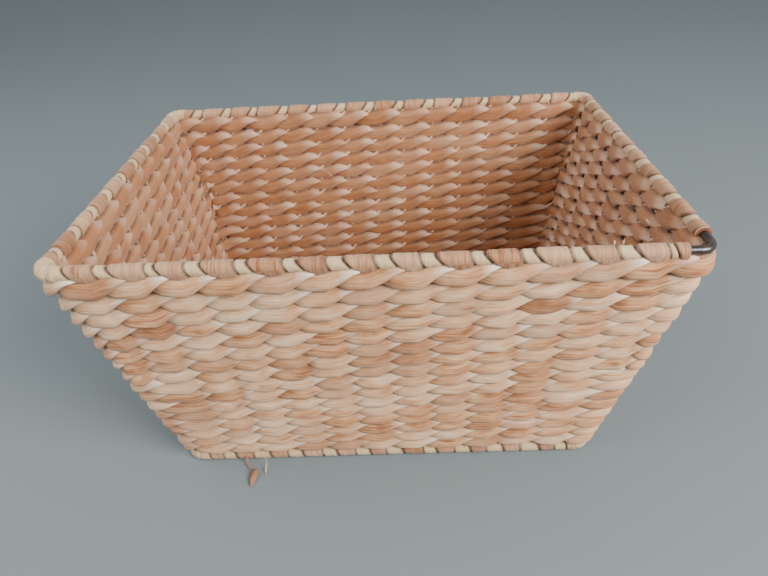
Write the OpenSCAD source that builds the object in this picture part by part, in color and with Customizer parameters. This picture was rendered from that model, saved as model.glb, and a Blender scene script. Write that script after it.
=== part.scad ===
// Tapered storage basket. A welded wire frame, with a rod at the rim and another at the
// foot, carries sixteen rounds of twined leaf strand, a twined base and bound edges.
// X runs along the basket, Y across it and Z up. The origin is on the floor, mid-basket.

/* [Basket] */
// Length at the rim, between the rod's centres
rim_len = 351; // [300:1:430]
// Width at the rim, between the rod's centres
rim_wid = 241; // [200:1:300]
// Length at the foot, between the rod's centres
foot_len = 291; // [240:1:295]
// Width at the foot, between the rod's centres
foot_wid = 181; // [150:1:195]
// Height from the foot rod's centre to the rim rod's centre
wall_h = 186; // [150:1:225]

/* [Wire frame] */
// Diameter of the rod at the rim and at the foot
rod_d = 5; // [4:0.5:6]
// Radius of the rods' bends at the corners, to the rod's centre
bend_r = 8; // [6.5:0.5:14]
// Diameter of the four corner posts
post_d = 4; // [3:0.5:5]
// Diameter of the stakes and the base wires
stake_d = 2.5; // [2:0.1:3]
// Spacing of the stakes on the long walls, and of the base wires
long_pitch = 24.6; // [20:0.1:30]
// Spacing of the stakes on the short walls
short_pitch = 24.1; // [20:0.1:29]
// Gap that stands for the weld between a wire's end and what it is welded to
weld_gap = 0.1; // [0.05:0.05:0.3]

/* [Weave] */
// Thickness of the woven walls
wall_t = 10; // [8:0.5:12]
// Thickness of the woven base
base_t = 8; // [7:0.5:9]
// Gap between a strand and the wire or strand next to it
strand_gap = 0.3; // [0.2:0.05:0.5]
// Gap between the foot binding and the first round above it
first_gap = 3; // [0.3:0.1:5]

/* [Bound edges] */
// Thickness of the strand wound round the rods
bind_t = 2; // [1.5:0.1:2.5]
// How much the foot binding bulges where it is pressed flat on the floor
foot_bulge = 0.3; // [0.2:0.1:0.6]
// Length of rod left bare on each side of the open rim corner
bare_len = 7; // [2:0.5:15]
// Length of the dry leaf end that sticks out at the foot
leaf_len = 22; // [10:1:26]
// Width of the dry leaf end
leaf_wid = 4; // [3:0.5:7]
// Thickness of the dry leaf end
leaf_t = 0.8; // [0.6:0.1:1.2]
// Distance of the dry leaf end to the left of the basket's middle
leaf_at = 103; // [60:1:110]

/* [Hidden] */
rounds = 16;
base_rows = 14;
SIDES = ["front", "back", "left", "right"];
CORNERS = ["front_left", "front_right", "back_left", "back_right"];
function two_digits(i) = str(i < 10 ? "0" : "", i);
function round_name(i) = str("wall_round_", two_digits(i));
function row_name(i) = str("base_row_", two_digits(i));

steel = "#2b2320";
strand = "#c9a982";
tan_strand = "#b98f66";

$fn = 64;
arc_steps = 6;    // flats in each rounded corner of a woven round
cut_over = 1;     // how far a cutter runs past what it cuts

z_foot = rod_d / 2 + bind_t;
z_rim = z_foot + wall_h;
rim_bind_r = rod_d / 2 + bind_t;
foot_bind_r = rim_bind_r + foot_bulge;
weave_low = z_foot + foot_bind_r + first_gap;
weave_high = z_rim - rim_bind_r - strand_gap;
round_pitch = (weave_high - weave_low) / rounds;
base_half_len = foot_len / 2 - foot_bind_r - strand_gap;
base_half_wid = foot_wid / 2 - foot_bind_r - strand_gap;
row_pitch = 2 * base_half_wid / base_rows;

// The middle of a rod's bend lies this far inside the sharp corner, along X and along Y
bend_in = bend_r * (1 - sqrt(0.5));
// A stake this far from the sharp corner touches the post
post_reach = (post_d + stake_d) / 2 + weld_gap + bend_in;
// No stake meets a rod closer to the sharp corner than this
bend_keep = bend_r + stake_d;

// Half the length and half the width between the wall's middles, at height z
function half_len(z) = (foot_len + (rim_len - foot_len) * (z - z_foot) / wall_h) / 2;
function half_wid(z) = (foot_wid + (rim_wid - foot_wid) * (z - z_foot) / wall_h) / 2;

// Places of the stakes along a wall, counted out both ways from its middle
function places(half, pitch) =
    let (n = floor((half - bend_keep) / pitch)) [for (k = [-n:n]) k * pitch];
long_places = places(rim_len / 2, long_pitch);
short_places = places(rim_wid / 2, short_pitch);
base_places = places(foot_len / 2, long_pitch);

// Height where a stake starts: on the foot rod, or on the post that leans across it
function start_z(at, foot_half, rim_half) =
    abs(at) + post_reach <= foot_half ? z_foot
    : z_foot + wall_h * (abs(at) + post_reach - foot_half) / (rim_half - foot_half);
function long_start(x) = start_z(x, foot_len / 2, rim_len / 2);
function short_start(y) = start_z(y, foot_wid / 2, rim_wid / 2);

// A point in the middle of a wall, at a place along it and a height; side is -1 or 1
function on_long(x, side, z) = [x, side * half_wid(z), z];
function on_short(y, side, z) = [side * half_len(z), y, z];
function on_post(sx, sy, z) = [sx * (half_len(z) - bend_in), sy * (half_wid(z) - bend_in), z];

// Outline of a rectangle with rounded corners, from its half sizes
function corner_arc(x, y, r, from) =
    [for (i = [0:arc_steps]) let (a = from + 90 * i / arc_steps) [x + r * cos(a), y + r * sin(a)]];
function outline(hx, hy, r) = concat(
    corner_arc(hx - r, hy - r, r, 0),
    corner_arc(r - hx, hy - r, r, 90),
    corner_arc(r - hx, r - hy, r, 180),
    corner_arc(hx - r, r - hy, r, 270)
);

// Turns a shape that stands along Z so that it runs from a towards b
module along(a, b) {
    v = b - a;
    translate(a) rotate([0, acos(v.z / norm(v)), atan2(v.y, v.x)]) children();
}

// A straight wire from a to b that stops short by gap_a and gap_b
module wire(a, b, d, gap_a, gap_b) {
    along(a, b) translate([0, 0, gap_a]) cylinder(h = norm(b - a) - gap_a - gap_b, d = d);
}

// A square cutter round a wire of diameter d
module wire_room(a, b, d) {
    w = d + 2 * strand_gap;
    along(a, b) translate([-w / 2, -w / 2, 0]) cube([w, w, norm(b - a)]);
}

// A straight round bar of radius r between two points
module bar(a, b, r) {
    along(a, b) cylinder(h = norm(b - a), r = r);
}

// A quarter bend of radius r at a corner of a rod; sx and sy are -1 or 1
module bend(hx, hy, z, sx, sy, r) {
    turn = sx > 0 ? (sy > 0 ? 0 : 270) : (sy > 0 ? 90 : 180);
    translate([sx * (hx - bend_r), sy * (hy - bend_r), z]) rotate([0, 0, turn])
        rotate_extrude(angle = 90) translate([bend_r, 0]) circle(r = r);
}

// A closed ring of rod, from its half sizes and its height
module rod_ring(hx, hy, z) {
    for (s = [-1, 1]) {
        bar([bend_r - hx, s * hy, z], [hx - bend_r, s * hy, z], rod_d / 2);
        bar([s * hx, bend_r - hy, z], [s * hx, hy - bend_r, z], rod_d / 2);
        for (t = [-1, 1]) bend(hx, hy, z, s, t, rod_d / 2);
    }
}

// A band of tapered wall between two heights, wall_t thick, with rounded corners
module wall_band(z0, z1) {
    t = wall_t / 2;
    outer_r = bend_r + t;
    inner_r = max(bend_r - t, 0.5);
    loops = [
        for (p = outline(half_len(z0) + t, half_wid(z0) + t, outer_r)) [p.x, p.y, z0],
        for (p = outline(half_len(z1) + t, half_wid(z1) + t, outer_r)) [p.x, p.y, z1],
        for (p = outline(half_len(z1) - t, half_wid(z1) - t, inner_r)) [p.x, p.y, z1],
        for (p = outline(half_len(z0) - t, half_wid(z0) - t, inner_r)) [p.x, p.y, z0]
    ];
    n = len(loops) / 4;
    polyhedron(points = loops, faces = [
        for (side = [0:3]) for (i = [0:n - 1])
            let (a = side * n, b = (side + 1) % 4 * n, next = (i + 1) % n) [a + i, b + i, b + next, a + next]
    ]);
}

// Room for every stake and post that passes between two heights
module upright_room(z0, z1) {
    for (s = [-1, 1]) {
        for (x = long_places)
            if (long_start(x) < z1) wire_room(on_long(x, s, z0), on_long(x, s, z1), stake_d);
        for (y = short_places)
            if (short_start(y) < z1) wire_room(on_short(y, s, z0), on_short(y, s, z1), stake_d);
        for (t = [-1, 1]) wire_room(on_post(s, t, z0), on_post(s, t, z1), post_d);
    }
}

module rim_rod() {
    color(steel) rod_ring(rim_len / 2, rim_wid / 2, z_rim);
}

module foot_rod() {
    color(steel) rod_ring(foot_len / 2, foot_wid / 2, z_foot);
}

// A corner post, welded between the bends of the two rods
module post(sx, sy) {
    a = on_post(sx, sy, z_foot);
    b = on_post(sx, sy, z_rim);
    slant = abs((b - a) * [sx, -sy, 0]) / norm(b - a) / sqrt(2);
    gap = rod_d / 2 + weld_gap + slant * post_d / 2;
    color(steel) wire(a, b, post_d, gap, gap);
}

// The stakes of a wall: the outer ones start on the posts that lean across them
module long_stakes(side) {
    color(steel) for (x = long_places) {
        from = long_start(x);
        wire(on_long(x, side, from), on_long(x, side, z_rim), stake_d,
            from > z_foot ? 0 : rod_d / 2 + weld_gap, rod_d / 2 + weld_gap);
    }
}

module short_stakes(side) {
    color(steel) for (y = short_places) {
        from = short_start(y);
        wire(on_short(y, side, from), on_short(y, side, z_rim), stake_d,
            from > z_foot ? 0 : rod_d / 2 + weld_gap, rod_d / 2 + weld_gap);
    }
}

// Straight wires across the base, welded to the inside of the foot rod
module base_wires() {
    gap = rod_d / 2 + weld_gap;
    color(steel) for (x = base_places)
        wire([x, -foot_wid / 2, z_foot], [x, foot_wid / 2, z_foot], stake_d, gap, gap);
}

// One round of twined strand, closed about every stake and post; round 1 is the lowest
module wall_round(i) {
    z0 = weave_low + (i - 1) * round_pitch + strand_gap / 2;
    z1 = weave_low + i * round_pitch - strand_gap / 2;
    color(strand) difference() {
        wall_band(z0, z1);
        upright_room(z0 - cut_over, z1 + cut_over);
    }
}

// One row of twined strand across the base wires; row 1 is at the front
module base_row(i) {
    y0 = -base_half_wid + (i - 1) * row_pitch + strand_gap / 2;
    y1 = -base_half_wid + i * row_pitch - strand_gap / 2;
    corner_r = max(bend_r - foot_bind_r - strand_gap, 0.5);
    color(strand) difference() {
        intersection() {
            translate([0, 0, z_foot - base_t / 2]) linear_extrude(base_t)
                polygon(outline(base_half_len, base_half_wid, corner_r));
            translate([-base_half_len - cut_over, y0, 0])
                cube([2 * (base_half_len + cut_over), y1 - y0, z_foot + base_t]);
        }
        for (x = base_places)
            wire_room([x, y0 - cut_over, z_foot], [x, y1 + cut_over, z_foot], stake_d);
    }
}

// Ends of the straight part of a rod along one side of the basket
function side_ends(side, hx, hy, z) =
    side == "front" ? [[bend_r - hx, -hy, z], [hx - bend_r, -hy, z]]
    : side == "back" ? [[bend_r - hx, hy, z], [hx - bend_r, hy, z]]
    : side == "left" ? [[-hx, bend_r - hy, z], [-hx, hy - bend_r, z]]
    : [[hx, bend_r - hy, z], [hx, hy - bend_r, z]];

// Strand wound round the rim rod; the front and right ones stop short of the open corner
module rim_binding(side) {
    e = side_ends(side, rim_len / 2, rim_wid / 2, z_rim);
    a = e[0] + (side == "right" ? [0, bare_len, 0] : [0, 0, 0]);
    b = e[1] - (side == "front" ? [bare_len, 0, 0] : [0, 0, 0]);
    color(tan_strand) difference() {
        bar(a, b, rim_bind_r);
        bar(e[0] - (b - a), e[1] + (b - a), rod_d / 2 + strand_gap);
        upright_room(z_rim - 2 * rim_bind_r, z_rim);
    }
}

// Short lengths of strand wound round three of the rim's bends
module rim_corner_wraps() {
    color(tan_strand) difference() {
        for (c = [[-1, -1], [-1, 1], [1, 1]]) corner_wrap(rim_len / 2, rim_wid / 2, z_rim, c, rim_bind_r);
        upright_room(z_rim - 2 * rim_bind_r, z_rim);
    }
}

// A sleeve round one bend, clear of the bindings at its ends
module corner_wrap(hx, hy, z, c, r) {
    difference() {
        bend(hx, hy, z, c.x, c.y, r);
        bend(hx, hy, z, c.x, c.y, rod_d / 2 + strand_gap);
        translate([c.x * (hx - bend_r) - r - bend_r, c.y * (hy - bend_r) - strand_gap, z - r])
            cube([2 * (r + bend_r), 2 * strand_gap, 2 * r]);
        translate([c.x * (hx - bend_r) - strand_gap, c.y * (hy - bend_r) - r - bend_r, z - r])
            cube([2 * strand_gap, 2 * (r + bend_r), 2 * r]);
    }
}

// Everything below the floor
module below_floor() {
    big = rim_len + rim_wid;
    translate([-big / 2, -big / 2, -z_rim]) cube([big, big, z_rim]);
}

// Strand wound round the foot rod and pressed flat underneath
module foot_binding(side) {
    e = side_ends(side, foot_len / 2, foot_wid / 2, z_foot);
    color(tan_strand) difference() {
        bar(e[0], e[1], foot_bind_r);
        bar(e[0] - (e[1] - e[0]), e[1] + (e[1] - e[0]), rod_d / 2 + strand_gap);
        upright_room(z_foot, z_foot + 2 * foot_bind_r);
        for (x = base_places) for (s = [-1, 1])
            wire_room([x, 0, z_foot], [x, s * foot_wid / 2, z_foot], stake_d);
        below_floor();
    }
}

module foot_corner_wraps() {
    color(tan_strand) difference() {
        for (s = [-1, 1]) for (t = [-1, 1])
            corner_wrap(foot_len / 2, foot_wid / 2, z_foot, [s, t], foot_bind_r);
        upright_room(z_foot, z_foot + 2 * foot_bind_r);
        below_floor();
    }
}

// A dry leaf end that comes out from under the foot binding, kinks and lies on the floor
module dry_leaf_end() {
    lift = 0.3;                  // the leaf lies this far off the floor
    rise = 4;                    // height of the kink
    y0 = -foot_wid / 2 - foot_bind_r - strand_gap;
    color(tan_strand) translate([-leaf_at, y0, 0]) rotate([90, 0, -90])
        linear_extrude(leaf_wid, center = true) polygon([
            [0, z_foot], [rise, z_foot - leaf_t], [leaf_len / 2, lift], [leaf_len, lift + leaf_t],
            [leaf_len, lift + 2 * leaf_t], [leaf_len / 2, lift + leaf_t], [rise, z_foot], [0, z_foot + leaf_t]
        ]);
}

rim_rod();
foot_rod();
post(-1, -1);  // post_front_left
post(1, -1);  // post_front_right
post(-1, 1);  // post_back_left
post(1, 1);  // post_back_right
long_stakes(-1);  // stakes_front
long_stakes(1);  // stakes_back
short_stakes(-1);  // stakes_left
short_stakes(1);  // stakes_right
base_wires();
for (i = [1:rounds]) wall_round(i);
for (i = [1:base_rows]) base_row(i);
for (s = SIDES) rim_binding(s);
rim_corner_wraps();
for (s = SIDES) foot_binding(s);
foot_corner_wraps();
dry_leaf_end();
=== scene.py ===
# %% [markdown]
# # A twined storage basket
# The real basket is a welded wire frame. A thick rod makes the rim and another the foot, four
# posts join their corners, and thin stakes stand between them. Two flat leaf strands at a time are
# twined round the stakes, sixteen rounds from foot to rim, and a strand is wound round each rod.
# The wire frame comes from the CAD model as it is. This lesson makes the leaf: it is bent, uneven
# and soft, so its shape is worked out from the places of the wires that it goes round.

# %% The frame
import ast
import math

import bpy
import numpy as np
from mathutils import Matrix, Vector


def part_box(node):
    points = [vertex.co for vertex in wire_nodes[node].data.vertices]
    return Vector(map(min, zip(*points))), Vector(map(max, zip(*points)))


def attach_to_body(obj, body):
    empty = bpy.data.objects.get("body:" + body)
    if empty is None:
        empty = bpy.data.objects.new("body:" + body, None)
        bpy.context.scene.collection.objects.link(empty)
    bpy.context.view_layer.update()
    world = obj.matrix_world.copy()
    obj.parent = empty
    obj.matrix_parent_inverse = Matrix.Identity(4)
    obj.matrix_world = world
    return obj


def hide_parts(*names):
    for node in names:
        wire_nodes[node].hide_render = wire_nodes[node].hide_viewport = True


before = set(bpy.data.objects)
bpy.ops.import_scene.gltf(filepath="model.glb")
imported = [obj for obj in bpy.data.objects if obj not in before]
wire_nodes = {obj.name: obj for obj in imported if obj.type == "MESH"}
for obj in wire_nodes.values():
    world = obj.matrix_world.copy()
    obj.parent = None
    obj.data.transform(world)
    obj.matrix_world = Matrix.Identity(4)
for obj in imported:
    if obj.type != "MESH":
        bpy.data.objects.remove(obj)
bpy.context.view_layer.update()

# %% [markdown]
# ## Two helpers for node trees
# Geometry and materials are both node trees. One function adds a node, sets its settings and links
# its inputs. The other turns a line of arithmetic into Math nodes, which is far easier to read than
# the nodes one by one.

# %% Helpers
MATH_NAMES = {
    ast.Add: "ADD", ast.Sub: "SUBTRACT", ast.Mult: "MULTIPLY", ast.Div: "DIVIDE", ast.Pow: "POWER",
    "sin": "SINE", "cos": "COSINE", "abs": "ABSOLUTE", "floor": "FLOOR", "fract": "FRACT",
    "max": "MAXIMUM", "min": "MINIMUM", "sqrt": "SQRT", "less": "LESS_THAN",
}


def add(tree, kind, inputs=None, **settings):
    """Adds a node. Each input is a number, a colour, a material or another node's output."""
    new = tree.nodes.new(kind)
    for name, value in settings.items():
        setattr(new, name, value)
    for key, value in (inputs or {}).items():
        if isinstance(value, bpy.types.NodeSocket):
            tree.links.new(value, new.inputs[key])
        else:
            new.inputs[key].default_value = value
    return new


def formula(tree, text, **values):
    """Builds a line of arithmetic from Math nodes and gives the last one's output."""

    def build(part):
        if isinstance(part, ast.Constant):
            return part.value
        if isinstance(part, ast.Name):
            return math.pi if part.id == "pi" else values[part.id]
        if isinstance(part, ast.UnaryOp):
            return connect("MULTIPLY", [part.operand, ast.Constant(-1.0)])
        if isinstance(part, ast.Call):
            return connect(MATH_NAMES[part.func.id], part.args)
        return connect(MATH_NAMES[type(part.op)], [part.left, part.right])

    def connect(operation, parts):
        inputs = dict(enumerate(build(part) for part in parts))
        return add(tree, "ShaderNodeMath", inputs, operation=operation).outputs[0]

    return build(ast.parse(text).body[0].value)


print(len(MATH_NAMES), "kinds of arithmetic can be written in a formula")

# %% [markdown]
# ## Where the wires are
# A strand goes round every stake and post, so its path starts from them. The nodes of the frame
# hold the wires as loose triangles. Sorted along the wall they fall into one group of points for
# each wire, and the mean of a group's low half and of its high half are the wire's two ends.

# %% Reading the wires
LONG_AXIS, SHORT_AXIS = 0, 1
WIRE_SPACE = 0.005


def wire_ends(name, axis):
    """The low end and the high end of each wire of a node, in order along an axis."""
    points = np.array([v.co for v in wire_nodes[name].data.vertices])
    points = points[np.argsort(points[:, axis])]
    splits = np.where(np.diff(points[:, axis]) > WIRE_SPACE)[0] + 1
    ends = []
    for group in np.split(points, splits):
        middle = (group[:, 2].min() + group[:, 2].max()) / 2
        ends.append((group[group[:, 2] < middle].mean(0), group[group[:, 2] >= middle].mean(0)))
    return ends


def post_ends(corner):
    """The two ends of a corner post."""
    points = np.array([v.co for v in wire_nodes["post_" + corner].data.vertices])
    middle = (points[:, 2].min() + points[:, 2].max()) / 2
    return points[points[:, 2] < middle].mean(0), points[points[:, 2] >= middle].mean(0)


# Counted round the basket from the back left corner, seen from above, anticlockwise
upright_wires = [post_ends("back_left")] + wire_ends("stakes_left", SHORT_AXIS)[::-1]
upright_wires += [post_ends("front_left")] + wire_ends("stakes_front", LONG_AXIS)
upright_wires += [post_ends("front_right")] + wire_ends("stakes_right", SHORT_AXIS)
upright_wires += [post_ends("back_right")] + wire_ends("stakes_back", LONG_AXIS)[::-1]
post_numbers = [0] + list(np.cumsum([len(wire_ends("stakes_" + side, axis)) + 1 for side, axis in
                                     (("left", SHORT_AXIS), ("front", LONG_AXIS), ("right", SHORT_AXIS))]))
stake_pitch = float(np.diff([ends[0][0] for ends in wire_ends("stakes_front", LONG_AXIS)]).max())
wall_lean = math.atan2(*(np.subtract(*wire_ends("stakes_back", LONG_AXIS)[5][::-1])[[1, 2]]))
print(len(upright_wires), "upright wires,", round(1000 * stake_pitch, 1), "mm apart on a long wall")
print("The walls lean out by", round(math.degrees(wall_lean), 1), "degrees")

# %% [markdown]
# Near the foot, the outer stakes run into the posts. Where a stake stands closer to a post than a
# strand is wide, the weaver takes the two as one, and so does this list of crossings.

# %% The crossings of a round
PAIR_SPACE = 0.0118
END_SPACE = 0.002


def crossings(height):
    """The points that a round of strand goes through at a height, in order round the basket."""
    points = {}
    for number, (low, high) in enumerate(upright_wires):
        if height > low[2] - END_SPACE:
            points[number] = low + (high - low) * (height - low[2]) / (high[2] - low[2])
    posts = [points[number] for number in post_numbers]
    return [point for number, point in points.items() if number in post_numbers
            or min(np.linalg.norm(point - post) for post in posts) > PAIR_SPACE]


round_names = sorted(name for name in wire_nodes if name.startswith("wall_round_"))

# %% [markdown]
# ## The twined strand as a node tree
# Two strands cross between every two stakes, so each one passes outside a stake, crosses over and
# passes inside the next. Each pass shows as one stitch: it comes out low on the left of a stake,
# climbs across it and dives in at the upper right, squeezed to a point.
# A strand could be modelled by hand for one stake and repeated, but then all stitches would be the
# same. Geometry Nodes suit this better, since one tree serves all thirty rounds and rows: it sweeps
# a plain tube along the path, and then puts each point of the tube where the formulas say.

# %% The parts that the trees share
FLOAT, INT, BOOL = "NodeSocketFloat", "NodeSocketInt", "NodeSocketBool"
GEOMETRY, MATERIAL = "NodeSocketGeometry", "NodeSocketMaterial"
SHARED_INPUTS = {
    "Closed": BOOL, "Steps": INT, "Sides": INT, "Lean": FLOAT, "Unevenness": FLOAT, "Pitch": FLOAT,
    "Seed": FLOAT, "Finish": MATERIAL,
}


def new_tree(name, inputs):
    """An empty geometry tree with a geometry input, the named inputs and a geometry output."""
    tree = bpy.data.node_groups.new(name, "GeometryNodeTree")
    tree.interface.new_socket("Path", in_out="INPUT", socket_type=GEOMETRY)
    for label_text, kind in {**SHARED_INPUTS, **inputs}.items():
        tree.interface.new_socket(label_text, in_out="INPUT", socket_type=kind)
    tree.interface.new_socket("Strand", in_out="OUTPUT", socket_type=GEOMETRY)
    return tree, tree.nodes.new("NodeGroupInput").outputs


def keep(tree, geometry, value, kind="FLOAT", domain="POINT"):
    """Holds a value on the geometry as it is now, and gives the geometry and the held value."""
    capture = add(tree, "GeometryNodeCaptureAttribute", {"Geometry": geometry}, domain=domain)
    capture.capture_items.new(kind, "Value")
    tree.links.new(value, capture.inputs[1])
    return capture.outputs["Geometry"], capture.outputs[1]


def smooth_path(tree, start):
    """The points as a smooth curve, with what each place on it needs to know: how many of the
    points it has passed, which way it is heading and where it is."""
    cloud = add(tree, "GeometryNodeMeshToPoints", {"Mesh": start["Path"]})
    curve = add(tree, "GeometryNodePointsToCurves", {"Points": cloud.outputs[0], "Weight":
                add(tree, "GeometryNodeInputIndex").outputs[0]})
    closed = add(tree, "GeometryNodeSetSplineCyclic", {"Geometry": curve.outputs[0], "Cyclic": start["Closed"]})
    round_off = add(tree, "GeometryNodeCurveSplineType", {"Curve": closed.outputs[0]}, spline_type="CATMULL_ROM")
    fine = add(tree, "GeometryNodeSetSplineResolution",
               {"Geometry": round_off.outputs[0], "Resolution": start["Steps"]})
    path = add(tree, "GeometryNodeResampleCurve", {"Curve": fine.outputs[0]}, mode="EVALUATED").outputs[0]
    index = add(tree, "GeometryNodeInputIndex").outputs[0]
    path, turn = keep(tree, path, formula(tree, "i / steps", i=index, steps=start["Steps"]))
    path, heading = keep(tree, path, add(tree, "GeometryNodeInputTangent").outputs[0], "VECTOR")
    path, centre = keep(tree, path, add(tree, "GeometryNodeInputPosition").outputs[0], "VECTOR")
    return path, turn, heading, centre


def plain_tube(tree, start, path):
    """A thin tube with closed ends along the path, and the angle of each point round it."""
    ring = add(tree, "GeometryNodeCurvePrimitiveCircle", {"Resolution": start["Sides"], "Radius": 0.001})
    ring, angle = keep(tree, ring.outputs[0], formula(
        tree, "f * 2 * pi", f=add(tree, "GeometryNodeSplineParameter").outputs["Factor"]))
    tube = add(tree, "GeometryNodeCurveToMesh", {"Curve": path, "Profile Curve": ring, "Fill Caps": True})
    return add(tree, "GeometryNodeFlipFaces", {"Mesh": tube.outputs[0]}).outputs[0], angle


def across_path(tree, start, heading):
    """The two directions square to the path: out from the wall, and up along it."""
    level = add(tree, "ShaderNodeVectorMath", {0: heading, 1: (0, 0, 1)}, operation="CROSS_PRODUCT").outputs[0]
    level = add(tree, "ShaderNodeVectorMath", {0: level}, operation="NORMALIZE").outputs[0]
    out = add(tree, "ShaderNodeVectorRotate", {"Vector": level, "Axis": heading, "Angle":
              formula(tree, "lean * -1", lean=start["Lean"])}, rotation_type="AXIS_ANGLE").outputs[0]
    return out, add(tree, "ShaderNodeVectorMath", {0: out, 1: heading}, operation="CROSS_PRODUCT").outputs[0]


def moved(tree, place, *steps):
    """A place moved in several directions, each with its own distance."""
    for direction, distance in steps:
        place = add(tree, "ShaderNodeVectorMath", {0: direction, 1: distance, 2: place},
                    operation="MULTIPLY_ADD").outputs[0]
    return place


def on_floor(tree, place, floor_height):
    """A place lifted to the floor where it would lie below it."""
    parts = add(tree, "ShaderNodeSeparateXYZ", {0: place}).outputs
    height = formula(tree, "max(z, h)", z=parts[2], h=floor_height)
    return add(tree, "ShaderNodeCombineXYZ", {0: parts[0], 1: parts[1], 2: height}).outputs[0]


def swing(tree, vector, offset, scale, detail=1.0):
    """Three smooth random numbers of about -1 to 1 at a vector, different for each offset."""
    cloud = add(tree, "ShaderNodeTexNoise", {"Vector": vector, "W": offset, "Scale": scale, "Detail": detail},
                noise_dimensions="4D").outputs["Color"]
    parts = add(tree, "ShaderNodeSeparateXYZ", {0: cloud}).outputs
    return [formula(tree, "(n - 0.5) * 4", n=part) for part in parts]


def finish_tree(tree, start, tube, place, labels):
    """Ends a tree: the points move to their places, and vectors are stored for the materials. A
    label is a ready vector, or the three numbers to make one of."""
    tube = add(tree, "GeometryNodeSetPosition", {"Geometry": tube, "Position": place}).outputs[0]
    for name, parts in labels.items():
        vector = parts[0] if len(parts) == 1 else add(
            tree, "ShaderNodeCombineXYZ", dict(enumerate(parts))).outputs[0]
        tube = add(tree, "GeometryNodeStoreNamedAttribute", {"Geometry": tube, "Name": name, "Value": vector},
                   data_type="FLOAT_VECTOR", domain="POINT").outputs[0]
    smooth = add(tree, "GeometryNodeSetShadeSmooth", {"Geometry": tube})
    real = add(tree, "GeometryNodeRealizeInstances", {"Geometry": smooth.outputs[0]})
    painted = add(tree, "GeometryNodeSetMaterial", {"Geometry": real.outputs[0], "Material": start["Finish"]})
    add(tree, "NodeGroupOutput", {0: painted.outputs[0]})
    print(tree.name, "tree:", len(tree.nodes), "nodes")
    return tree


# %% [markdown]
# ## The formulas of the twined strand
# The phase counts stakes, and the second strand is one stake behind the first. A strand shows one
# stitch outside and the next one inside, so each point takes its place along the stitch of its own
# face: 0 at the stake, a half at the tip's crossing, minus a half at the start's. A stitch comes
# out broad and low from behind the last tip, climbs, and narrows to a point that lies on the next
# one's start. Slow random numbers make each a little longer, fuller or higher than the others.

# %% The twined tree
# Lengths along a stitch, where 1 is the way from a stake to the next
EMERGE = 0.85  # how long the start takes to come out to the full depth
DIVE = 0.42  # how long the end takes to go back in
TIP_END = 0.75  # where the point of the tip lies
TIP_WIDTH = 0.14  # the width left at the point, as a share of the full width
# Swells in the strand for each metre, so about one for each stake
STITCH_SWELLS = 34.0


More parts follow.
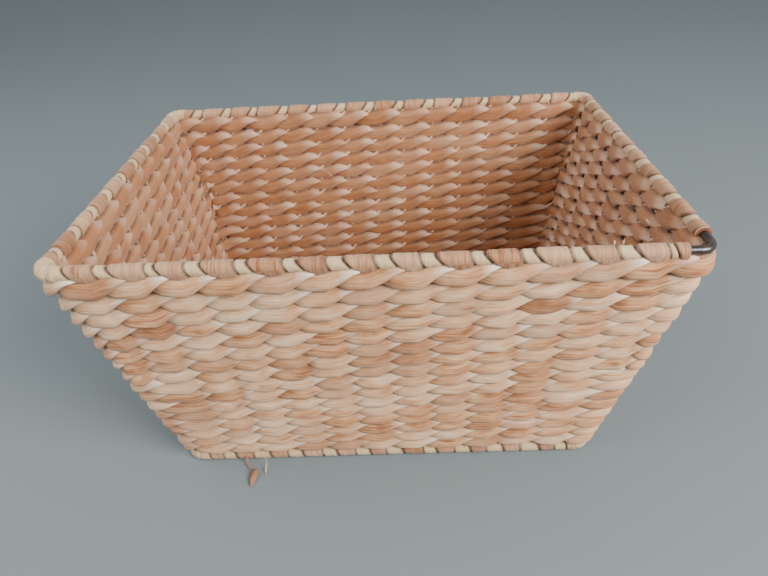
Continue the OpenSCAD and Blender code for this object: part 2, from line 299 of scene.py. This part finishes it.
def twined_tree():
    tree, start = new_tree("Twined strand", {
        "Half height": FLOAT, "Depth": FLOAT, "Rise": FLOAT, "Fold depth": FLOAT})
    path, turn, heading, centre = smooth_path(tree, start)
    pair = add(tree, "GeometryNodeDuplicateElements", {"Geometry": path, "Amount": 2}, domain="SPLINE")
    strands, which = keep(tree, pair.outputs[0], pair.outputs[1])
    tube, angle = plain_tube(tree, start, strands)
    offset = formula(tree, "seed + 9.7 * which", seed=start["Seed"], which=which)
    uneven = start["Unevenness"]
    wide, far, high = swing(tree, centre, offset, STITCH_SWELLS)
    phase = formula(tree, "turn + which + 0.11 * uneven * n", turn=turn, which=which, n=far, uneven=uneven)

    # A folded leaf has blunt edges, so its section is a rounded box more than an ellipse
    face = formula(tree, "cos(a) * (abs(cos(a)) + 0.001) ** (0 - 0.36)", a=angle)
    edge = formula(tree, "sin(a) * (abs(sin(a)) + 0.001) ** (0 - 0.2)", a=angle)
    # Seen from outside and from inside, a stitch is centred on another stake and runs the other way
    side = formula(tree, "less(0, c)", c=face)
    stitch = formula(tree, "floor((v + s) / 2)", v=phase, s=side)
    part = formula(tree, "(v - 2 * k - 1 + s) * (2 * s - 1)", v=phase, k=stitch, s=side)

    forward = formula(tree, "sin(min((p + 1) / emerge, 1) * pi / 2) * sin(min((1 - p) / dive, 1) * pi / 2)",
                      p=part, emerge=EMERGE, dive=DIVE)
    depth = formula(tree, "depth * (1.09 * f - 0.09) * (1 + 0.09 * sin(pi * p) + 0.1 * uneven * n)",
                    depth=start["Depth"], f=forward, p=part, uneven=uneven, n=wide)
    taper = formula(tree, "max(p / end, 0) ** 1.3 * (1 - max((p - end) * 4, 0))", p=part, end=TIP_END)
    height = formula(tree, "half * (1 - (1 - tip) * min(q, 1)) * (1 + 0.2 * uneven * abs(n))", q=taper,
                     tip=TIP_WIDTH, half=start["Half height"], uneven=uneven, n=wide)
    rise = formula(tree, "rise * (max(sin(pi * (p - 0.2)), -0.66) + 0.35) + 0.0009 * uneven * n",
                   rise=start["Rise"], p=part, uneven=uneven, n=high)
    spot = add(tree, "ShaderNodeCombineXYZ", {
        0: formula(tree, "v * 0.5", v=phase), 1: formula(tree, "c * 0.4", c=face),
        2: formula(tree, "e * 2.3", e=edge)}).outputs[0]
    fold = swing(tree, spot, offset, 1.7, 2.0)[0]
    bulge = formula(tree, "c * (d * (1 - 0.15 * e) + fold * n)", c=face, d=depth, e=edge, n=fold,
                    fold=start["Fold depth"])
    spread = formula(tree, "e * h", e=edge, h=height)
    out, up = across_path(tree, start, heading)
    place = moved(tree, centre, (out, bulge), (up, formula(tree, "a + b", a=rise, b=spread)))

    number = formula(tree, "2 * k + s", k=stitch, s=side)
    label = add(tree, "ShaderNodeCombineXYZ", {
        0: formula(tree, "k * 7.31 + 0.17", k=number), 1: formula(tree, "w * 3.7 + 0.5", w=which),
        2: formula(tree, "s * 5.17", s=start["Seed"])}).outputs[0]
    dice = add(tree, "ShaderNodeTexWhiteNoise", {"Vector": label}, noise_dimensions="3D").outputs["Color"]
    along = formula(tree, "t * pitch", t=turn, pitch=start["Pitch"])
    # Paler towards each tip: partly the worn, stretched leaf and partly a painted highlight
    pale_tip_and_highlight = formula(tree, "min(max(p - 0.26, 0) * 2.4, 1)", p=part)
    # Painted shade where the strand comes out, under its lower edge and where the next round lies on it
    shade = formula(tree, "min(max(-0.5 - p, 0) * 1.2 + max(e * -1 - 0.82, 0) * 6"
                    " + max(e - 0.74 + 0.2 * s, 0) * (3.6 + 1.8 * s) * min(max(0.5 - p, 0) * 3, 1), 1)",
                    p=part, e=edge, s=side)
    layer = formula(tree, "c * 0.002 + k * 0.07 + seed * 0.031 + which * 0.013", c=face, k=number,
                    seed=start["Seed"], which=which)
    # The third mark is 1 on the faces turned to the basket's inside, which the material darkens as painted shade
    return finish_tree(tree, start, tube, place, {
        "leaf_dice": (dice,), "leaf_marks": (pale_tip_and_highlight, shade, formula(tree, "1 - s", s=side)),
        "leaf_place": (along, spread, layer)})


twined = twined_tree()

# %% [markdown]
# ## The strand wound round a rod
# On the rim, a broad band and a narrow band fill each space between two stakes. The broad one is
# the strand's dull outer face, and its lower part sags between the stakes, down behind the first
# round. The narrow one shows the pale inner face and ends in a slanting slit, where the strand
# turns down behind the rod. On the foot the bands are alike and are pressed flat by the floor.

# %% The wound tree
BAND_SWELLS = 30.0
NOTCH_WIDTH = 0.0016
SLIT_WIDTH = 0.0021


def wound_tree():
    tree, start = new_tree("Wound strand", {
        "Radius": FLOAT, "Share": FLOAT, "Slant": FLOAT, "Groove": FLOAT, "Sag": FLOAT, "Step down": FLOAT,
        "Lengthwise": FLOAT, "Floor": FLOAT})
    path, turn, heading, centre = smooth_path(tree, start)
    tube, angle = plain_tube(tree, start, path)
    uneven = start["Unevenness"]
    near, slow, lumps = swing(tree, centre, start["Seed"], BAND_SWELLS)
    upper = formula(tree, "sin(a)", a=angle)
    place_in_gap = formula(tree, "t + 0.5 + slant * u + 0.06 * uneven * n", t=turn, slant=start["Slant"],
                           u=upper, uneven=uneven, n=near)
    part = formula(tree, "fract(g)", g=place_in_gap)
    split = formula(tree, "share + 0.6 * slant * u + 0.1 * uneven * n", share=start["Share"],
                    slant=start["Slant"], u=upper, uneven=uneven, n=slow)
    broad = formula(tree, "less(p, s)", p=part, s=split)
    number = formula(tree, "floor(g) * 2 + b", g=place_in_gap, b=broad)
    label = add(tree, "ShaderNodeCombineXYZ", {0: number, 1: 0.5, 2: start["Seed"]}).outputs[0]
    dice = add(tree, "ShaderNodeTexWhiteNoise", {"Vector": label}, noise_dimensions="3D").outputs["Color"]
    edge = formula(tree, "min(min(p, 1 - p), abs(p - s)) * pitch", p=part, s=split, pitch=start["Pitch"])
    notch = formula(tree, "max(1 - e / width, 0)", e=edge, width=NOTCH_WIDTH)
    slit = formula(tree, "max(1 - (1 - p) * pitch / width, 0)", p=part, pitch=start["Pitch"], width=SLIT_WIDTH)
    spot = add(tree, "ShaderNodeCombineXYZ", {
        0: formula(tree, "t * 9", t=turn), 1: formula(tree, "a * 0.5", a=angle)}).outputs[0]
    ridge = swing(tree, spot, start["Seed"], 1.0, 2.0)[0]
    radius = formula(tree, "r - down * (1 - b) - groove * (k ** 1.5 + q * 0.6) + 0.0003 * uneven * (m + l)",
                     r=start["Radius"], down=start["Step down"], b=broad, groove=start["Groove"], k=notch,
                     q=slit, uneven=uneven, m=ridge, l=lumps)
    sag = formula(tree, "sag * b * max(u * -1, 0) ** 1.5 * max(1 - abs(p / s * 2 - 1), 0)",
                  sag=start["Sag"], b=broad, u=upper, p=part, s=split)
    out, up = across_path(tree, start, heading)
    place = moved(tree, centre, (out, formula(tree, "cos(a) * r", a=angle, r=radius)),
                  (up, formula(tree, "u * r - g", u=upper, r=radius, g=sag)))
    place = on_floor(tree, place, start["Floor"])

    along = formula(tree, "t * pitch", t=turn, pitch=start["Pitch"])
    girth = formula(tree, "a * r", a=angle, r=start["Radius"])
    lengthwise = start["Lengthwise"]
    # Painted shade in the notches between bands and in the slits
    shade = formula(tree, "min(k * 0.8 + q, 1) * min(depth * 1100, 1)", k=notch, q=slit, depth=start["Groove"])
    return finish_tree(tree, start, tube, place, {
        "leaf_dice": (dice,), "leaf_marks": (0.0, shade, formula(tree, "1 - b", b=broad)),
        "leaf_place": (formula(tree, "x * l + g * (1 - l)", x=along, g=girth, l=lengthwise),
                       formula(tree, "g * l + x * (1 - l)", x=along, g=girth, l=lengthwise),
                       formula(tree, "n * 0.05 + seed * 0.031", n=number, seed=start["Seed"]))})


wound = wound_tree()

# %% [markdown]
# ## Loose ends
# A dry leaf end sticks out at the foot, and a few fibres have come loose. Each one is a flat tube
# that narrows towards its tips and turns about itself.

# %% The loose end tree
def loose_tree():
    tree, start = new_tree("Loose end", {"Width": FLOAT, "Thickness": FLOAT, "Turn": FLOAT, "Floor": FLOAT})
    path, turn, heading, centre = smooth_path(tree, start)
    path, share = keep(tree, path, add(tree, "GeometryNodeSplineParameter").outputs["Factor"])
    tube, angle = plain_tube(tree, start, path)
    narrowing = formula(tree, "0.3 + 0.7 * min(max((f - 0.5) * 7, 0), 1) * min((1 - f) * 6, 1)", f=share)
    wide = formula(tree, "cos(a) * w * n", a=angle, w=start["Width"], n=narrowing)
    thick = formula(tree, "sin(a) * t * n", a=angle, t=start["Thickness"], n=narrowing)
    twist = formula(tree, "turn * f", turn=start["Turn"], f=share)
    out, up = across_path(tree, start, heading)
    place = moved(tree, centre, (out, formula(tree, "w * cos(q) - t * sin(q)", w=wide, t=thick, q=twist)),
                  (up, formula(tree, "w * sin(q) + t * cos(q)", w=wide, t=thick, q=twist)))
    place = on_floor(tree, place, start["Floor"])
    return finish_tree(tree, start, tube, place, {
        "leaf_dice": (0.4, 0.4, 0.4), "leaf_marks": (0.0, 0.0, 0.0),
        "leaf_place": (formula(tree, "f * 0.03", f=share), wide, start["Seed"])})


loose = loose_tree()


# %% Growing a piece from a tree
def grow(name, tree, points, settings):
    """Makes a piece: the tree works on the points, and its result is kept as a plain mesh."""
    path = bpy.data.meshes.new(name + "_path")
    path.from_pydata([tuple(point) for point in points], [], [])
    piece = bpy.data.objects.new(name, path)
    bpy.context.scene.collection.objects.link(piece)
    modifier = piece.modifiers.new("Grow", "NODES")
    modifier.node_group = tree
    for socket in tree.interface.items_tree:
        if socket.in_out == "INPUT" and socket.name in settings:
            modifier[socket.identifier] = settings[socket.name]
    graph = bpy.context.evaluated_depsgraph_get()
    grown = bpy.data.meshes.new_from_object(piece.evaluated_get(graph))
    piece.modifiers.remove(modifier)
    piece.data = grown
    bpy.data.meshes.remove(path)
    return piece


# %% [markdown]
# ## Materials
# Every leaf part is the same dried leaf, so one function makes all their materials. It reads three
# vectors stored on the mesh: a roll of the dice for each stitch or band, the place on the leaf in
# metres, and marks: tips painted pale, partly as worn leaf and partly as a painted highlight; painted
# shade where a strand comes out, under its edges and in notches; and the inner face, which is pale
# pith on the bindings and painted shade on the twined strands.

# %% Colours
def paint(code):
    """A colour written as sRGB hex, turned linear as the renderer needs it."""
    parts = [int(code[i:i + 2], 16) / 255 for i in (1, 3, 5)]
    return tuple(c / 12.92 if c <= 0.04045 else ((c + 0.055) / 1.055) ** 2.4 for c in parts) + (1.0,)


def new_material(name):
    """A material with an empty node tree."""
    material = bpy.data.materials.new(name)
    material.use_nodes = True
    material.node_tree.nodes.clear()
    return material, material.node_tree


# The fibres of the real leaf are about 0.3 mm apart. They are drawn at 0.8 mm, since finer ones
# would blur away at the distance a basket is seen from.
FIBRE_SPACE = 0.0008
FIBRE_LENGTH = 0.014
FOLD_SPACE = 0.0034
FOLD_LENGTH = 0.020
PATCH_SPACE = 0.012
PATCH_LENGTH = 0.020
RELIEF_DEPTH = 0.0012
print(round(FOLD_SPACE / FIBRE_SPACE, 1), "fibres to a fold")


# %% The dried leaf
def leaf_material(name, tones, pale_tip_and_highlight, inner_face_and_shade, share, stain, shadow, relief):
    """Dried leaf. The tones run from pale to dark; share is how far the inner face's colour shows, pale pith on
    the bindings and painted shade on the twined strands.
    """
    material, tree = new_material(name)
    dice = add(tree, "ShaderNodeAttribute", attribute_name="leaf_dice").outputs["Vector"]
    place = add(tree, "ShaderNodeAttribute", attribute_name="leaf_place").outputs["Vector"]
    marks = add(tree, "ShaderNodeAttribute", attribute_name="leaf_marks").outputs["Vector"]
    tone, blemish, pale_tip_dice = add(tree, "ShaderNodeSeparateXYZ", {0: dice}).outputs
    tip, shade, inner = add(tree, "ShaderNodeSeparateXYZ", {0: marks}).outputs
    clouds = {}
    for kind, length, space, detail in (("fibre", FIBRE_LENGTH, FIBRE_SPACE, 3.0),
                                        ("fold", FOLD_LENGTH, FOLD_SPACE, 2.0),
                                        ("patch", PATCH_LENGTH, PATCH_SPACE, 2.0)):
        stretched = add(tree, "ShaderNodeVectorMath", {0: place, 1: (1 / length, 1 / space, 200.0)},
                        operation="MULTIPLY").outputs[0]
        clouds[kind] = add(tree, "ShaderNodeTexNoise", {"Vector": stretched, "Scale": 1.0, "Detail": detail},
                           noise_dimensions="3D").outputs[0]
    depth = formula(tree, "t * 0.42 + (f - 0.5) * 1.15 + (g - 0.5) * 0.7 + (p - 0.5) * 0.5 + 0.36", t=tone,
                    f=clouds["fibre"], g=clouds["fold"], p=clouds["patch"])
    ramp = add(tree, "ShaderNodeValToRGB", {0: depth})
    for number, code in enumerate(tones):
        stops = ramp.color_ramp.elements
        stop = stops[number] if number < 2 else stops.new(1.0)
        stop.position = number / (len(tones) - 1)
        stop.color = paint(code)
    colour = ramp.outputs[0]
    blots = formula(tree, "min(max((p + 0.4 * f - 0.86) * 9, 0), 1) * less(0.55, b)", p=clouds["patch"],
                    f=clouds["fibre"], b=blemish)
    for factor, code in (
            (formula(tree, "min(b + 0.45 * less(0.8, m), 1) * 0.75", b=blots, m=blemish), stain),
            # The inner face: pale pith on the bindings, painted shade on the twined strands
            (formula(tree, "i * q * (1 + 0.5 * (0.5 - f))", i=inner, q=share, f=clouds["fibre"]), inner_face_and_shade),
            # Pale tips, partly worn leaf and partly a painted highlight, weaker on the inner faces
            (formula(tree, "t * (0.3 + 0.6 * d) * (1 - 0.7 * i)", t=tip, d=pale_tip_dice, i=inner), pale_tip_and_highlight),
            (formula(tree, "s * 0.88", s=shade), shadow)):
        colour = add(tree, "ShaderNodeMix", {0: factor, 6: colour, 7: paint(code)}, data_type="RGBA").outputs[2]
    height = formula(tree, "f * 0.45 + g * 0.55", f=clouds["fibre"], g=clouds["fold"])
    bump = add(tree, "ShaderNodeBump", {"Height": height, "Strength": relief, "Distance": RELIEF_DEPTH}).outputs[0]
    rough = formula(tree, "0.5 + 0.28 * f", f=clouds["fibre"])
    surface = add(tree, "ShaderNodeBsdfPrincipled", {
        "Base Color": colour, "Roughness": rough, "Normal": bump, "Specular IOR Level": 0.35,
        "Sheen Weight": 0.12, "Sheen Roughness": 0.6})
    add(tree, "ShaderNodeOutputMaterial", {0: surface.outputs[0]})
    print(name, "material:", len(tree.nodes), "nodes")
    return material


# Sun-dried and folded: straw, pinkish tan and a few orange-brown lengths, dull with a silky gleam
# Its tips are painted pale, partly as worn leaf and partly as a painted highlight, and its faces on the basket's
# inside carry painted shade
strand_finish = leaf_material(
    "Dried leaf, folded and twined", ("#E3CEB0", "#DCB894", "#D7AB86", "#CB986E", "#BC8154", "#925A34"),
    pale_tip_and_highlight="#FFF3E2", inner_face_and_shade="#985F36", share=0.7, stain="#8A5030", shadow="#4E3020", relief=1.0)
# Wound tight, so its dull skin shows in fine lines round the rod, with the pale pith face between
binding_finish = leaf_material(
    "Dried leaf, wound on the rods", ("#CBAA87", "#BF9672", "#B08566", "#A57450", "#864C28"),
    pale_tip_and_highlight="#F0E4D0", inner_face_and_shade="#D2B68C", share=0.75, stain="#7A4226", shadow="#2E1A10", relief=0.7)
# The brown midrib end of a leaf, brittle and darker than the rest
stray_finish = leaf_material(
    "Dry brown leaf end", ("#A67A58", "#8C6042", "#6E452C"), pale_tip_and_highlight="#B98D60", inner_face_and_shade="#B98D60", share=0.0,
    stain="#5A361E", shadow="#4A2E1C", relief=0.8)


# %% The wire's lacquer
def lacquer_material():
    """Baked dark brown lacquer on drawn steel wire: nearly black, with a hard gloss and faint dust."""
    material, tree = new_material("Baked lacquer on steel wire")
    spot = add(tree, "ShaderNodeTexCoord").outputs["Object"]
    dust = add(tree, "ShaderNodeTexNoise", {"Vector": spot, "Scale": 900.0, "Detail": 3.0}).outputs[0]
    wear = add(tree, "ShaderNodeTexNoise", {"Vector": spot, "Scale": 160.0, "Detail": 2.0}).outputs[0]
    colour = add(tree, "ShaderNodeMix", {0: formula(tree, "max(w - 0.45, 0) * 2", w=wear), 6: paint("#20130C"),
                                         7: paint("#4A3122")}, data_type="RGBA").outputs[2]
    bump = add(tree, "ShaderNodeBump", {"Height": dust, "Strength": 0.25, "Distance": 0.0003}).outputs[0]
    surface = add(tree, "ShaderNodeBsdfPrincipled", {
        "Base Color": colour, "Roughness": formula(tree, "0.22 + 0.25 * d", d=dust), "Normal": bump,
        "Coat Weight": 0.5, "Coat Roughness": 0.15})
    add(tree, "ShaderNodeOutputMaterial", {0: surface.outputs[0]})
    return material


lacquer = lacquer_material()
for name, node in wire_nodes.items():
    if name.endswith("rod") or name.startswith(("post_", "stakes_", "base_wires")):
        node.data.materials.clear()
        node.data.materials.append(lacquer)
        for face in node.data.polygons:
            face.material_index = 0


def attach(piece, node):
    """The piece stands for a CAD node, which is hidden, and rides on the basket's one body."""
    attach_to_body(piece, "root")
    if node:
        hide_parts(node)
    mesh = piece.data
    print(piece.name, sum(len(face.vertices) - 2 for face in mesh.polygons), "triangles")


# %% [markdown]
# ## The sixteen rounds of the wall
# Each round is twined from two long strands, worked upwards from the foot. The top one is pushed
# out and up by the rim that it is packed against.

# %% Wall rounds
TWINED = {
    "Closed": True, "Steps": 18, "Sides": 22, "Half height": 0.0065, "Depth": 0.0045, "Rise": 0.0032,
    "Lean": wall_lean, "Unevenness": 1.0, "Fold depth": 0.0005, "Pitch": stake_pitch, "Finish": strand_finish,
}
TOP_ROUND = {"Depth": 0.0054, "Half height": 0.0070}
TOP_LIFT = 0.0018

for number, name in enumerate(round_names):
    low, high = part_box(name)
    top = name == round_names[-1]
    points = crossings((low.z + high.z) / 2 + (TOP_LIFT if top else 0.0))
    settings = {**TWINED, "Seed": 3.0 + number, **(TOP_ROUND if top else {})}
    attach(grow("twined_" + name, twined, points, settings), name)

# %% [markdown]
# ## The rows of the base
# The base is twined in the same way, in straight rows from left to right over the wires that run
# from front to back. It lies level, so the strand's outside faces down.

# %% Base rows
FLAT_TWINED = {
    **TWINED, "Closed": False, "Steps": 12, "Sides": 16, "Half height": 0.0066, "Depth": 0.0031,
    "Rise": 0.0026, "Lean": math.pi / 2,
}
base_wire_ends = wire_ends("base_wires", LONG_AXIS)
base_wire_spots = [(front[0] + back[0]) / 2 for front, back in base_wire_ends]
row_names = sorted(name for name in wire_nodes if name.startswith("base_row_"))
for number, name in enumerate(row_names):
    low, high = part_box(name)
    middle = (low + high) / 2
    spots = [low.x] + base_wire_spots + [high.x]
    points = [(x, middle.y, middle.z) for x in spots]
    attach(grow("twined_" + name, twined, points, {**FLAT_TWINED, "Seed": 40.0 + number}), name)

# %% [markdown]
# ## The bindings of the rim and the foot
# Each side of the rod is wound from corner to corner, with one space between two stakes as the
# unit. The strand is drawn tighter at the foot, where the basket stands on it.

# %% Straight bindings
RIM_WOUND = {
    "Closed": False, "Steps": 36, "Sides": 28, "Radius": 0.0044, "Share": 0.62, "Slant": 0.12,
    "Groove": 0.0012, "Sag": 0.0030, "Step down": 0.0005, "Lengthwise": 0.0, "Floor": 0.0, "Lean": 0.0,
    "Unevenness": 1.0, "Pitch": stake_pitch, "Finish": binding_finish,
}
FOOT_WOUND = {
    **RIM_WOUND, "Radius": 0.0049, "Share": 0.5, "Slant": 0.05, "Groove": 0.0010, "Sag": 0.0,
    "Step down": 0.0, "Floor": 0.0002,
}
SIDE_AXES = {"front": (LONG_AXIS, 1), "right": (SHORT_AXIS, 1), "back": (LONG_AXIS, -1), "left": (SHORT_AXIS, -1)}


def side_points(node, axis, way, spots):
    """Points along one side of a rod: its two ends and the spots between, in order round the basket."""
    low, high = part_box(node)
    middle = (low + high) / 2
    inner = [spot for spot in spots if low[axis] + END_SPACE < spot < high[axis] - END_SPACE]
    points = []
    for spot in sorted([low[axis]] + inner + [high[axis]])[::way]:
        point = middle.copy()
        point[axis] = spot
        points.append(point)
    return points


for rod, settings, end in (("rim", RIM_WOUND, 1), ("foot", FOOT_WOUND, 0)):
    for number, (side, (axis, way)) in enumerate(SIDE_AXES.items()):
        node = rod + "_binding_" + side
        spots = [ends[end][axis] for ends in wire_ends("stakes_" + side, axis)]
        points = side_points(node, axis, way, spots)
        settings["Seed"] = 60.0 + 5.0 * number + end
        attach(grow("wound_" + node, wound, points, settings), node)

# %% [markdown]
# ## The corners
# At the bends, a length of strand is laid along the rod as a sleeve, so its fibres run along the
# bend. The front right corner of the rim has lost its sleeve, and the dark wire shows.

# %% Corner sleeves
BEND_RADIUS = 0.008
BEND_STEPS = 5
SLEEVE = {**RIM_WOUND, "Steps": 14, "Share": -0.3, "Slant": 0.0, "Groove": 0.0002, "Sag": 0.0,
          "Step down": 0.0, "Lengthwise": 1.0, "Pitch": 0.008}


def bend_points(node, rod, x_side, y_side):
    """Points round one bend of a rod, from where the sleeve begins to where it ends."""
    spots = np.array([v.co for v in wire_nodes[node].data.vertices])
    spots = spots[(spots[:, 0] * x_side > 0) & (spots[:, 1] * y_side > 0)]
    low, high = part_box(rod)
    thick = (high.z - low.z) / 2
    corner = Vector((x_side * (high.x - thick), y_side * (high.y - thick), (low.z + high.z) / 2))
    bend = Vector((x_side * BEND_RADIUS, y_side * BEND_RADIUS, 0.0))
    middle = corner - bend
    start = Vector((x_side * np.abs(spots[:, 0]).min(), corner.y, corner.z))
    finish = Vector((corner.x, y_side * np.abs(spots[:, 1]).min(), corner.z))
    points = [start]
    for step in range(BEND_STEPS):
        angle = math.pi / 2 * step / (BEND_STEPS - 1)
        points.append(middle + Vector((bend.x * math.sin(angle), bend.y * math.cos(angle), 0.0)))
    points.append(finish)
    return points if x_side * y_side < 0 else points[::-1]


number = 0
for rod, radius, floor in (("rim", 0.0046, 0.0), ("foot", 0.0049, 0.0002)):
    pieces = []
    for x_side, y_side in ((-1, -1), (1, 1), (-1, 1)) + (((1, -1),) if rod == "foot" else ()):
        points = bend_points(rod + "_corner_wraps", rod + "_rod", x_side, y_side)
        number += 1
        settings = {**SLEEVE, "Radius": radius, "Floor": floor, "Seed": 90.0 + number}
        pieces.append(grow(rod + "_sleeve_" + str(number), wound, points, settings))
    with bpy.context.temp_override(active_object=pieces[0], selected_editable_objects=pieces):
        bpy.ops.object.join()
    pieces[0].name = rod + "_corner_sleeves"
    attach(pieces[0], rod + "_corner_wraps")

# %% [markdown]
# ## The dry leaf end and the loose fibres
# The leaf end comes out under the foot, kinks and lies on the floor. The fibres are hairs of leaf
# that the weaver did not trim.

# %% Loose ends
low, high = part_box("dry_leaf_end")
middle = (low.x + high.x) / 2
leaf_points = [
    (middle - 0.0020, high.y, high.z + 0.0010), (middle - 0.0008, high.y - 0.0030, low.z + 0.0030),
    (middle + 0.0014, high.y - 0.0075, low.z + 0.0010), (middle + 0.0040, high.y - 0.0085, low.z + 0.0012),
    (middle + 0.0068, high.y - 0.0095, low.z + 0.0022), (middle + 0.0064, high.y - 0.0135, low.z + 0.0026),
    (middle + 0.0056, high.y - 0.0185, low.z + 0.0016), (middle + 0.0050, low.y - 0.0010, low.z + 0.0006)]
LOOSE = {"Closed": False, "Steps": 8, "Sides": 12, "Lean": 0.0, "Unevenness": 0.0, "Pitch": 0.01,
         "Seed": 1.0, "Floor": 0.0002}
leaf = grow("dry_leaf", loose, leaf_points, {
    **LOOSE, "Width": 0.0022, "Thickness": 0.0005, "Turn": 0.5, "Finish": stray_finish})
attach(leaf, "dry_leaf_end")

FIBRES = (
    ((0.1222, -0.1212, 0.1930), (0.1225, -0.1216, 0.1962), (0.1221, -0.1214, 0.1990)),
    ((0.1262, -0.1216, 0.1930), (0.1265, -0.1220, 0.1968), (0.1268, -0.1220, 0.1998)),
    ((-0.0895, -0.0975, 0.0120), (-0.0892, -0.1010, 0.0050), (-0.0894, -0.1080, 0.0006)),
    ((-0.0535, 0.1075, 0.1440), (-0.0480, 0.1045, 0.1405), (-0.0425, 0.1040, 0.1350)),
    ((0.1655, -0.0760, 0.1800), (0.1620, -0.0745, 0.1790), (0.1600, -0.0700, 0.1810)),
)
hairs = [grow("fibre_" + str(number), loose, points, {
    **LOOSE, "Width": 0.0005, "Thickness": 0.0003, "Turn": 1.0, "Finish": strand_finish})
    for number, points in enumerate(FIBRES)]
with bpy.context.temp_override(active_object=hairs[0], selected_editable_objects=hairs):
    bpy.ops.object.join()
hairs[0].name = "loose_fibres"
attach(hairs[0], None)

# %% [markdown]
# ## Floor, light and camera
# A pale floor, a broad soft light from the right, the weak light that a pale wall on the left gives
# back, and a pale sky.

# %% The setting
def place_object(name, data, spot, angles):
    """Puts a light or a camera in the scene."""
    item = bpy.data.objects.new(name, data)
    bpy.context.scene.collection.objects.link(item)
    item.location = spot
    item.rotation_euler = angles
    return item


floor_mesh = bpy.data.meshes.new("floor")
floor_mesh.from_pydata([(-4, -4, 0), (4, -4, 0), (4, 4, 0), (-4, 4, 0)], [], [(0, 1, 2, 3)])
floor = place_object("floor", floor_mesh, (0, 0, 0), (0, 0, 0))
floor_finish, tree = new_material("Matt painted table")
surface = add(tree, "ShaderNodeBsdfPrincipled", {"Base Color": paint("#6F797C"), "Roughness": 0.75})
add(tree, "ShaderNodeOutputMaterial", {0: surface.outputs[0]})
floor_mesh.materials.append(floor_finish)

key = bpy.data.lights.new("window", "AREA")
key.energy = 48.0
key.size = 0.8
key.color = (1.0, 0.975, 0.94)
key_spot = Vector((1.05, -0.85, 0.95))
place_object("window", key, key_spot, (Vector((0, 0, 0.1)) - key_spot).to_track_quat("-Z", "Y").to_euler())

fill = bpy.data.lights.new("pale_wall", "AREA")
fill.energy = 13.0
fill.size = 1.2
fill_spot = Vector((-0.95, -0.25, 0.85))
place_object("pale_wall", fill, fill_spot, (-fill_spot).to_track_quat("-Z", "Y").to_euler())

sky = bpy.data.worlds.new("room")
sky.use_nodes = True
sky.node_tree.nodes["Background"].inputs[0].default_value = paint("#D8E0E2")
sky.node_tree.nodes["Background"].inputs[1].default_value = 0.77
bpy.context.scene.world = sky

camera = bpy.data.cameras.new("camera")
camera.lens = 27.05
camera_spot = (0.0146, -0.36935, 0.3545)
camera_turn = tuple(math.radians(angle) for angle in (53.99, 2.659, 0.164))
bpy.context.scene.camera = place_object("camera", camera, camera_spot, camera_turn)
